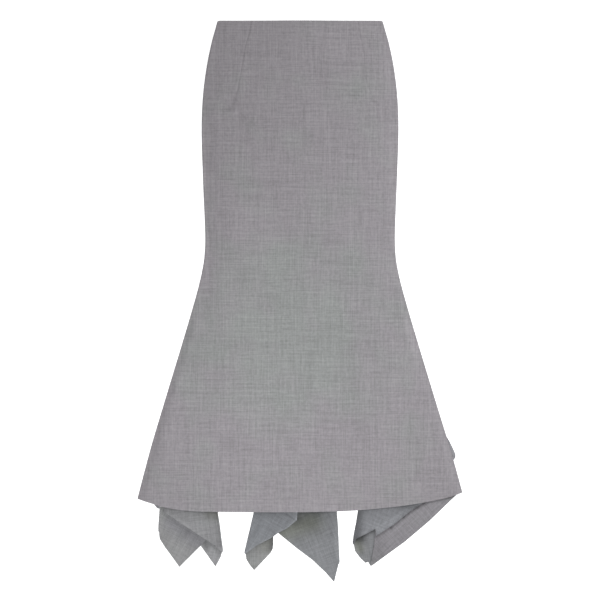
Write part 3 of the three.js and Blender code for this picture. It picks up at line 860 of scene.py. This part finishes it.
def make_godet(name):
    """One folded godet as one sheet: middle layer, fold, floor layer, fold, top layer."""
    shape = GODETS[name]
    stations = shape["stations"]
    counts = ROWS_BETWEEN_STATIONS
    parts = [np.linspace(i, i + 1, n, endpoint=False) for i, n in enumerate(counts)]
    at = np.concatenate(parts + [[len(counts)]])
    line = {k: np.interp(at, np.arange(len(v)), v) for k, v in stations.items()}
    mid_free, fold1, fold2, top_free = (
        np.stack([line[key + "_x"], line[key + "_d"]], -1) for key in ("mid", "fold1", "fold2", "top")
    )

    def fold_middle(fold, other, roll):
        """The outward way of a fold, and the line that its curl turns round."""
        run = np.gradient(fold, axis=0)
        run /= np.linalg.norm(run, axis=1, keepdims=True)
        out = np.stack([run[:, 1], -run[:, 0]], -1)
        out *= np.sign(np.sum(out * (fold - other), axis=1, keepdims=True))
        return out, fold - out * (roll + CLOTH / 2)[:, None]

    out1, centre1 = fold_middle(fold1, fold2, line["roll1"])
    out2, centre2 = fold_middle(fold2, fold1, line["roll2"])
    first = counts[0] + counts[1]
    down = np.clip((at - at[first]) / (at[-1] - at[first]), 0, 1)[:, None, None]

    def facet(start, end, hem):
        """One facet's plan: straight rows under the front, then a patch that ends on the hem's line."""
        corners = np.stack([hem["x"], hem["depth"]], -1)
        marks = np.concatenate([[0], hem["share"], [1]]) if "share" in hem else None
        s, low = hem_points(np.concatenate([start[-1:], corners, end[-1:]]), marks)
        s = s[None, :, None]
        straight = start[:, None] + (end - start)[:, None] * s
        fan = straight[first] * (1 - down) + low[None] * down
        lag1 = start[:, None] - (start[first] * (1 - down) + start[-1] * down)
        lag2 = end[:, None] - (end[first] * (1 - down) + end[-1] * down)
        return np.where(down > 0, fan + lag1 * (1 - s) + lag2 * s, straight)

    def curl(centre, out, roll, upwards):
        """A fold's half turn, closed a little at its very end as the hem rounds off there."""
        angle = math.pi * np.linspace(-0.5, 0.5, FOLD_STEPS + 1) * (1 if upwards else -1)
        steps = np.linalg.norm(np.diff(centre, axis=0), axis=1)
        to_end = np.concatenate([np.cumsum(steps[::-1])[::-1], [0]])
        bulge = roll * (1 - FOLD_END_CLOSING * np.clip(1 - to_end / FOLD_END, 0, 1) ** 2)
        plan = centre[:, None] + out[:, None] * (bulge[:, None] * np.cos(angle))[..., None]
        return plan, layer(0) + roll[:, None] * (1 + np.sin(angle))

    def height(number, plan, centre, roll):
        """The height of the middle or top layer, which comes down from its fold to lie on the one below."""
        away = np.linalg.norm(plan - centre[:, None], axis=2)
        top = layer(0) + 2 * roll[:, None]
        level = layer(1 if number == 0 else 2)
        soft = creases(plan[..., 0], plan[..., 1], GODET_CREASES[name][number])
        return level + (top - level) * bell(away, FOLD_RELAX) + smooth(away, *CREASES_FROM) * soft

    backwards = {key: values[::-1] for key, values in shape["mid_hem"].items()}
    mid = facet(mid_free, centre1, backwards)
    base = facet(centre1, centre2, shape["base_hem"])
    top = facet(centre2, top_free, shape["top_hem"])
    curl1, z1 = curl(centre1, out1, line["roll1"], False)
    curl2, z2 = curl(centre2, out2, line["roll2"], True)
    heights = [height(0, mid, centre1, line["roll1"]), np.full(base.shape[:2], layer(0))]
    heights.append(height(2, top, centre2, line["roll2"]))
    for number, rows in LEDGES.get(name, {}).items():
        plan = (mid, base, top)[number]
        heights[number] = heights[number] + ledges(plan[..., 0], plan[..., 1], rows)
    plan = np.concatenate([mid[:, :-1], curl1, base[:, 1:-1], curl2, top[:, 1:]], axis=1)
    z = np.concatenate([heights[0][:, :-1], z1, heights[1][:, 1:-1], z2, heights[2][:, 1:]], axis=1)
    number = np.concatenate(
        [np.zeros(mid.shape[1] - 1), np.linspace(0, 1, FOLD_STEPS + 1), np.ones(base.shape[1] - 2)]
        + [np.linspace(1, 2, FOLD_STEPS + 1), np.full(top.shape[1] - 1, 2.0)]
    )

    # The cloth opened out flat again, so that its weave runs as it was cut
    offset = plan - np.array([(fold1[0, 0] + fold2[0, 0]) / 2, GODET_TOP - OPENING_RISE])
    reach = np.linalg.norm(offset, axis=2)
    turn = np.arctan2(offset[..., 0], offset[..., 1])
    sense = np.where(np.abs(number - 1) > 0.5, 1, -1)
    gone = np.cumsum(np.diff(turn[first]) * sense[:-1])
    opened = np.concatenate([[turn[first, 0]], turn[first, 0] + gone])
    turned = sense * turn + (opened - sense * turn[first]) - opened.mean()
    grain = np.stack([reach * np.sin(turned), -reach * np.cos(turned)], -1)

    x, depth = plan[..., 0], plan[..., 1]
    # Each facet's painted colour cast, painted light or shade, and warmth of painted shade
    looks = FACET_PAINTED_LIGHT[name]
    tint, tone, painted_shade_warmth = (
        np.broadcast_to(np.interp(number, (0, 1, 2), looks[key]), z.shape)
        for key in ("tint", "tone", "painted_shade_warmth")
    )
    # Painted shade, painted highlights and warmer painted shade along the lines of each facet
    for facet_number, (dark, painted_warm_shade) in enumerate(zip(GODET_PAINTED_SHADING[name], GODET_PAINTED_SHADE_WARMTH[name])):
        own = np.clip(1.5 - 2 * np.abs(number - facet_number), 0, 1)
        tone = tone * (1 + own * (painted_strokes(x, depth, dark) - 1))
        if painted_warm_shade:
            painted_shade_warmth = painted_shade_warmth + own * (1 - painted_strokes(x, depth, painted_warm_shade))
    # Which skin is uppermost turns over at each fold
    rightwards = stations["fold1_x"][1] > stations["mid_x"][1]
    first_up = (np.abs(number - 1) > 0.5) == rightwards
    # The seen skin carries the painted colour cast, painted shading and its warmth; the hidden skin plain
    # values
    inner, painted_shading, painted_shade_warmth = (
        (np.where(first_up, seen, hidden), np.where(first_up, hidden, seen))
        for seen, hidden in ((tint, LOWER_SKIN_TINT), (tone, 1), (painted_shade_warmth, 0))
    )
    return shell(name + "_cloth", x, depth, z, grain, inner, painted_shading, painted_shade_warmth)


# Back gores: their hems end above the front's, but for a corner of the left side gore that shows
HEM_SETBACK = 6
HEM_LEVEL = 898
LEFT_HEM_DROP = 11.5
LEFT_HEM_SLOPE = (-283, -262)
# Rows above and below the godets' tops, and the last ones as shares of the way to the hem
GORE_ROW = 7
LOW_GORE_ROW = 6
LOW_GORE_SPAN = (606, 868)
HEM_ROWS = (0.35, 0.7, 0.9, 1)
# The gores rise to the slider at the top of the centre back seam
SLIDER_RISE = 2.6
SLIDER_SLOPE = (4, 20)
SLIDER_END = (34, 56)
# Soft creases start beside the seams, and rise no more than this over the front's own swell
SEAM_FLAT = (3, 22)
ROOM = 0.15
# Tint of the upper and lower skin, and a little painted shade on the whole upper skin, which shows where it
# looks out beside the front
GORE_INNER = (0.5, 0)
GORE_PAINTED_SHADE = (0.95, 1)


def side_edge(side):
    """A gore's edge at a side seam."""

    def edge(depth):
        out = np.interp(depth, SIDE_PEEK["depth"], SIDE_PEEK["out"]) if side > 0 else 0
        return side * (half_width(side, depth) - SIDE_INSET + out)

    return edge


def princess_edge(side, out):
    """A gore's edge at a side-back seam."""
    return lambda depth: side * PRINCESS_SHARE * half_width(side, depth) + out


def centre_edge(out):
    """A gore's edge at the centre back seam."""
    return lambda depth: 0 * depth + out


def godet_edge(godet, fold, out):
    """A gore's edge beside a godet's fold."""
    stations = GODETS[godet]["stations"]
    return lambda depth: np.interp(depth, stations[fold + "_d"], stations[fold + "_x"]) + out


# The left and right edge of each gore, above the tops of the godets and below them
GORES = {
    "back_side_left": (
        (side_edge(-1), princess_edge(-1, -SEAM / 2)),
        (side_edge(-1), godet_edge("godet_left", "fold1", -SEAM)),
    ),
    "back_centre_left": (
        (princess_edge(-1, SEAM / 2), centre_edge(-SEAM / 2)),
        (godet_edge("godet_left", "fold2", SEAM), godet_edge("godet_centre", "fold2", -SEAM)),
    ),
    "back_centre_right": (
        (centre_edge(SEAM / 2), princess_edge(1, -SEAM / 2)),
        (godet_edge("godet_centre", "fold1", SEAM), godet_edge("godet_right", "fold2", -SEAM)),
    ),
    "back_side_right": (
        (princess_edge(1, SEAM / 2), side_edge(1)),
        (godet_edge("godet_right", "fold1", SEAM), side_edge(1)),
    ),
}


def make_gore(name):
    """One back gore as a sheet. Its soft creases fade out towards its seams and stay under the front."""
    above, below = GORES[name]
    share = np.concatenate([[0, 0.006, 0.02, 0.045], np.linspace(0.08, 0.92, 17), [0.955, 0.98, 0.994, 1]])
    above_godets = even_steps(0, GODET_TOP - 4, GORE_ROW)
    below_tops = even_steps(*LOW_GORE_SPAN, LOW_GORE_ROW)
    depths = np.concatenate([above_godets, [GODET_TOP - SEAM], below_tops])

    def row(edges, d):
        left, right = edges[0](d), edges[1](d)
        return left + (right - left) * share, np.broadcast_to(d, share.shape)

    rows = [row(above if d < GODET_TOP - 1 else below, d) for d in depths]
    low_x, _ = row(below, np.float64(HEM_LEVEL))
    hem = front_hem(low_x) - HEM_SETBACK
    if name == "back_side_left":
        hem = hem + LEFT_HEM_DROP * smooth(low_x, *LEFT_HEM_SLOPE)
    last = rows[-1][1]
    rows += [row(below, last + (hem - last) * part) for part in HEM_ROWS]
    x, depth = (np.array(v) for v in zip(*rows))
    lift = SLIDER_RISE * (1 - smooth(np.abs(x), *SLIDER_SLOPE)) * (1 - smooth(depth, *SLIDER_END))
    from_seam = np.minimum(share, 1 - share)[None, :] * np.abs(x[:, -1:] - x[:, :1])
    room = np.maximum(front_height(x, depth) - layer(1), 0) + ROOM
    soft = np.minimum(creases(x, depth, GORE_CREASES) * smooth(from_seam, *SEAM_FLAT), room)
    z = layer(0) + np.maximum(lift, soft)
    return shell(name + "_cloth", x, depth, z, np.stack([x, -depth], -1), GORE_INNER, GORE_PAINTED_SHADE)


# Wool suiting
def stretched_noise(tree, source, name, scale, detail=2.0):
    """Noise drawn out along one direction: scale is how many grains to a metre along x and along y."""
    mapping = add(tree, "ShaderNodeMapping", name + " stretch", {"Scale": (scale[0], scale[1], 1)})
    grain = {"Scale": 1, "Detail": detail, "Roughness": 0.5}
    noise = add(tree, "ShaderNodeTexNoise", name, grain, noise_dimensions="2D")
    tree.links.new(source, mapping.inputs["Vector"])
    tree.links.new(mapping.outputs[0], noise.inputs["Vector"])
    return noise.outputs["Fac"]


def math_node(tree, name, operation, *values, clamp=False):
    """A sum of numbers and other nodes' outputs."""
    node = add(tree, "ShaderNodeMath", name, operation=operation, use_clamp=clamp)
    for socket, value in zip(node.inputs, values):
        if isinstance(value, (int, float)):
            socket.default_value = value
        else:
            tree.links.new(value, socket)
    return node.outputs[0]


def weave_group():
    """Two-tone suiting seen through its grain map: slubs both ways, single threads and a drift of tint."""
    group = bpy.data.node_groups.new("Suiting weave", "ShaderNodeTree")
    socket = group.interface.new_socket
    socket(name="Map", in_out="INPUT", socket_type="NodeSocketVector")
    for label, value in (("Slub", 0.93), ("Thread pitch", 0.00062)):
        socket(name=label, in_out="INPUT", socket_type="NodeSocketFloat").default_value = value
    for label in ("Tone", "Tint", "Height"):
        socket(name=label, in_out="OUTPUT", socket_type="NodeSocketFloat")
    source = group.nodes.new("NodeGroupInput")
    out = group.nodes.new("NodeGroupOutput")

    def step(name, operation, *values):
        return math_node(group, name, operation, *values)

    at = source.outputs["Map"]
    warp_fine = stretched_noise(group, at, "Warp slubs", (520, 26))
    weft_fine = stretched_noise(group, at, "Weft slubs", (26, 560))
    warp_wide = stretched_noise(group, at, "Wide warp streaks", (190, 7))
    weft_wide = stretched_noise(group, at, "Wide weft streaks", (7, 210))
    cloud = stretched_noise(group, at, "Cloud", (16, 16), 3)
    fleck = stretched_noise(group, at, "Flecks", (200, 190), 1)
    tint = stretched_noise(group, at, "Tint drift", (13, 11))
    fine = step("Fine streaks", "ADD", warp_fine, weft_fine)
    wide = step("Wide streaks", "ADD", warp_wide, weft_wide)
    fine_c = step("Fine about zero", "SUBTRACT", fine, 1.0)
    wide_c = step("Wide about zero", "SUBTRACT", wide, 1.0)
    cloud_c = step("Cloud about zero", "SUBTRACT", cloud, 0.5)
    fine_s = step("Fine strength", "MULTIPLY", fine_c, 0.36)
    wide_s = step("Wide strength", "MULTIPLY", wide_c, 0.24)
    cloud_s = step("Cloud strength", "MULTIPLY", cloud_c, 0.075)
    fleck_s = step("Fleck strength", "MULTIPLY_ADD", fleck, 0.26, -0.13)
    streaks = step("Streaks", "ADD", fine_s, wide_s)
    both = step("Streaks and flecks", "ADD", streaks, fleck_s)
    slub = step("Slub amount", "MULTIPLY", both, source.outputs["Slub"])
    # Single threads: light and dark ends and picks turn about, as in sharkskin
    turns = step("Threads to the metre", "DIVIDE", math.tau, source.outputs["Thread pitch"])
    split = add(group, "ShaderNodeSeparateXYZ", "Map parts")
    group.links.new(at, split.inputs[0])
    end_turn = step("End turn", "MULTIPLY", split.outputs[0], turns)
    pick_turn = step("Pick turn", "MULTIPLY", split.outputs[1], turns)
    end = step("End", "SINE", end_turn)
    pick = step("Pick", "SINE", pick_turn)
    cross = step("Crossing", "MULTIPLY", end, pick)
    thread = step("Thread tone", "MULTIPLY", cross, 0.10)
    tone0 = step("Tone sum", "ADD", slub, cloud_s)
    tone1 = step("Tone with threads", "ADD", tone0, thread)
    tone = step("Tone", "ADD", tone1, 1.0)
    end_rise = step("End rise", "ABSOLUTE", end)
    pick_rise = step("Pick rise", "ABSOLUTE", pick)
    ridge = step("Thread rise", "ADD", end_rise, pick_rise)
    slub_rise = step("Slub rise", "MULTIPLY", fine_c, 1.6)
    height = step("Height", "ADD", ridge, slub_rise)
    group.links.new(tone, out.inputs["Tone"])
    group.links.new(tint, out.inputs["Tint"])
    group.links.new(height, out.inputs["Height"])
    return group


WEAVE = weave_group()
FACE_RIM = (0.3085, 0.2918, 0.3107, 1)
FACE_MIDDLE = (0.294, 0.3035, 0.3004, 1)
INSIDE = (0.288, 0.300, 0.3206, 1)
# The tint that warms painted shade in the depth of a fold
PAINTED_SHADE_WARMTH_COLOUR = (0.98, 1.0, 0.84, 1)
# The face turns from one tint to the other between two distances from a point, in metres
TINT_CENTRE = (-0.015, -0.06, 0)
TINT_FROM = 0.06
TINT_TO = 0.27
# The colour sockets of a mix node, and its colour output
MIX_A, MIX_B, MIX_OUT = 6, 7, 2


def suiting(name):
    """Matt wool suiting whose face and inner side differ a little in tint, with the pieces' painted colour
    cast, painted shading and warmer painted shade read from their attributes.
    """
    made, tree = new_material(name)
    link = tree.links.new
    where = add(tree, "ShaderNodeUVMap", "Grain map", uv_map="grain")
    weave = add(tree, "ShaderNodeGroup", "Weave", node_tree=WEAVE)
    link(where.outputs[0], weave.inputs["Map"])
    place = add(tree, "ShaderNodeTexCoord", "Place")
    middle = add(tree, "ShaderNodeVectorMath", "From the middle", {1: TINT_CENTRE}, operation="DISTANCE")
    reach = {"From Min": TINT_FROM, "From Max": TINT_TO}
    spread = add(tree, "ShaderNodeMapRange", "Tint spread", reach, interpolation_type="SMOOTHSTEP")
    drift = math_node(tree, "Tint drift", "MULTIPLY_ADD", weave.outputs["Tint"], 1.9, -0.95)
    cast = math_node(tree, "Cast", "ADD", spread.outputs[0], drift, clamp=True)
    face = add(tree, "ShaderNodeMix", "Face tint", data_type="RGBA")
    face.inputs[MIX_A].default_value = FACE_MIDDLE
    face.inputs[MIX_B].default_value = FACE_RIM
    link(place.outputs["Object"], middle.inputs[0])
    link(middle.outputs["Value"], spread.inputs["Value"])
    link(cast, face.inputs[0])
    # The inner side's tint, which on the godets' facets is a painted colour cast of the light
    inner = add(tree, "ShaderNodeAttribute", "Inner side and painted cast", attribute_name="inner")
    sides = add(tree, "ShaderNodeMix", "Face or inside", data_type="RGBA")
    sides.inputs[MIX_B].default_value = INSIDE
    link(inner.outputs["Fac"], sides.inputs[0])
    link(face.outputs[MIX_OUT], sides.inputs[MIX_A])
    # Painted shade is tinted warmer in the depth of folds
    painted_shade_warmth = add(tree, "ShaderNodeAttribute", "Painted shade warmth", attribute_name="painted_shade_warmth")
    painted_warm_shade = add(tree, "ShaderNodeMix", "Warm painted shade", data_type="RGBA", blend_type="MULTIPLY")
    painted_warm_shade.inputs[MIX_B].default_value = PAINTED_SHADE_WARMTH_COLOUR
    link(painted_shade_warmth.outputs["Fac"], painted_warm_shade.inputs[0])
    link(sides.outputs[MIX_OUT], painted_warm_shade.inputs[MIX_A])
    # Painted shade and painted highlights scale the weave's tone
    painted_shading = add(tree, "ShaderNodeAttribute", "Painted shading", attribute_name="painted_shading")
    level = math_node(tree, "Tone with painted shading", "MULTIPLY", weave.outputs["Tone"], painted_shading.outputs["Fac"])
    scaled = add(tree, "ShaderNodeVectorMath", "Cloth colour", operation="SCALE")
    link(painted_warm_shade.outputs[MIX_OUT], scaled.inputs[0])
    link(level, scaled.inputs["Scale"])
    bump = add(tree, "ShaderNodeBump", "Thread relief", {"Strength": 0.35, "Distance": 0.12 * MM})
    link(weave.outputs["Height"], bump.inputs["Height"])
    finish = {
        "Roughness": 0.86,
        "Specular IOR Level": 0.25,
        "Sheen Weight": 0.12,
        "Sheen Roughness": 0.45,
    }
    cloth = add(tree, "ShaderNodeBsdfPrincipled", "Wool", finish)
    out = add(tree, "ShaderNodeOutputMaterial", "Surface")
    link(scaled.outputs[0], cloth.inputs["Base Color"])
    link(bump.outputs[0], cloth.inputs["Normal"])
    link(cloth.outputs[0], out.inputs["Surface"])
    return made


def nickel():
    """Plain nickel plate with a faint tumbled grain, on the zip's slider and pull."""
    made, tree = new_material("Nickel plate")
    link = tree.links.new
    where = add(tree, "ShaderNodeTexCoord", "Place")
    noise = add(tree, "ShaderNodeTexNoise", "Tumbled grain", {"Scale": 900, "Detail": 3})
    rough = add(tree, "ShaderNodeMapRange", "Gloss spread", {"To Min": 0.24, "To Max": 0.42})
    finish = {"Base Color": (0.56, 0.55, 0.53, 1), "Metallic": 1}
    metal = add(tree, "ShaderNodeBsdfPrincipled", "Nickel", finish)
    out = add(tree, "ShaderNodeOutputMaterial", "Surface")
    link(where.outputs["Object"], noise.inputs["Vector"])
    link(noise.outputs["Fac"], rough.inputs["Value"])
    link(rough.outputs[0], metal.inputs["Roughness"])
    link(metal.outputs[0], out.inputs["Surface"])
    return made


# Putting it together
wool = suiting("Grey wool suiting")
# Each cloth piece, under the name of the part that it stands in for
cloth = {"front_panel": make_front()}
for gore in GORES:
    cloth[gore] = make_gore(gore)
for godet in GODETS:
    cloth[godet] = make_godet(godet)
for node, piece in cloth.items():
    piece.data.materials.append(wool)
    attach(piece, "garment")
    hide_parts(node)

plate = nickel()
for node in ("zip_slider", "zip_pull"):
    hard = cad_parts[node]
    hard.data.materials.clear()
    hard.data.materials.append(plate)
